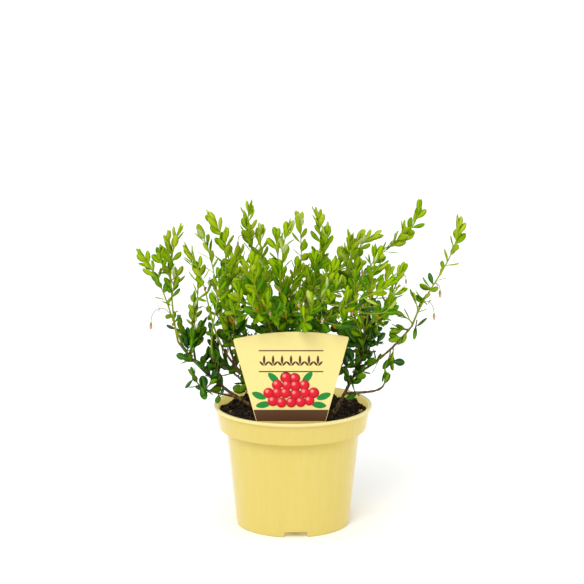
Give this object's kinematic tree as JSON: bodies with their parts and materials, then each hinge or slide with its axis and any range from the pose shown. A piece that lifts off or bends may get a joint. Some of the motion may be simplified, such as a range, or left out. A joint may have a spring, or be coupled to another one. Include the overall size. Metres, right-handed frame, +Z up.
{
  "type": "potted cranberry plant",
  "caption": "Young bushy cranberry shrub with upright leafy shoots in a round collared nursery pot filled with peat, with a fan-shaped plant card at the front.",
  "frame": {"origin": "centre of the pot's flat underside", "axes": "+Z up, -Y to the front that the plant card faces, +X to the right seen from the front"},
  "size_m": [0.2461, 0.163, 0.2493],
  "materials": {
    "pot_plastic": "pale straw yellow, semi-gloss moulded plastic",
    "printed_card": "pale cream yellow printed plastic card",
    "peat": "damp dark brown peat",
    "bark": "thin brown bark",
    "foliage": "small glossy leaves, yellow-green at the tips and deep green low down"
  },
  "bodies": {
    "root": {"bough_back_left": "bark", "bough_back_right": "bark", "bough_centre": "bark", "bough_centre_right": "bark", "bough_far_back_left": "bark", "bough_far_back_right": "bark", "bough_far_right": "bark", "bough_front_left": "bark", "bough_front_middle_left": "bark", "bough_front_middle_right": "bark", "bough_front_right": "bark", "bough_high_left": "bark", "bough_low_back_left": "bark", "bough_low_back_right": "bark", "bough_low_left": "bark", "bough_low_middle_left": "bark", "bough_low_middle_right": "bark", "bough_low_right": "bark", "bough_middle_left": "bark", "bough_middle_right": "bark", "card": "printed_card", "foliage_back_left": "foliage", "foliage_back_middle": "foliage", "foliage_back_right": "foliage", "foliage_centre": "foliage", "foliage_centre_left": "foliage", "foliage_centre_right": "foliage", "foliage_far_back_left": "foliage", "foliage_far_back_right": "foliage", "foliage_far_left": "foliage", "foliage_far_right": "foliage", "foliage_front_left": "foliage", "foliage_front_middle_left": "foliage", "foliage_front_middle_right": "foliage", "foliage_front_right": "foliage", "foliage_high_left": "foliage", "foliage_high_right": "foliage", "foliage_inner_left": "foliage", "foliage_low_back_left": "foliage", "foliage_low_back_right": "foliage", "foliage_low_left": "foliage", "foliage_low_middle_left": "foliage", "foliage_low_middle_right": "foliage", "foliage_low_right": "foliage", "foliage_middle_left": "foliage", "foliage_middle_right": "foliage", "foliage_right": "foliage", "pot": "pot_plastic", "soil": "peat", "stem_back": "bark", "stem_centre": "bark", "stem_left": "bark", "stem_left_inner": "bark", "stem_right": "bark", "stem_right_inner": "bark"}
  },
  "joints": []
}
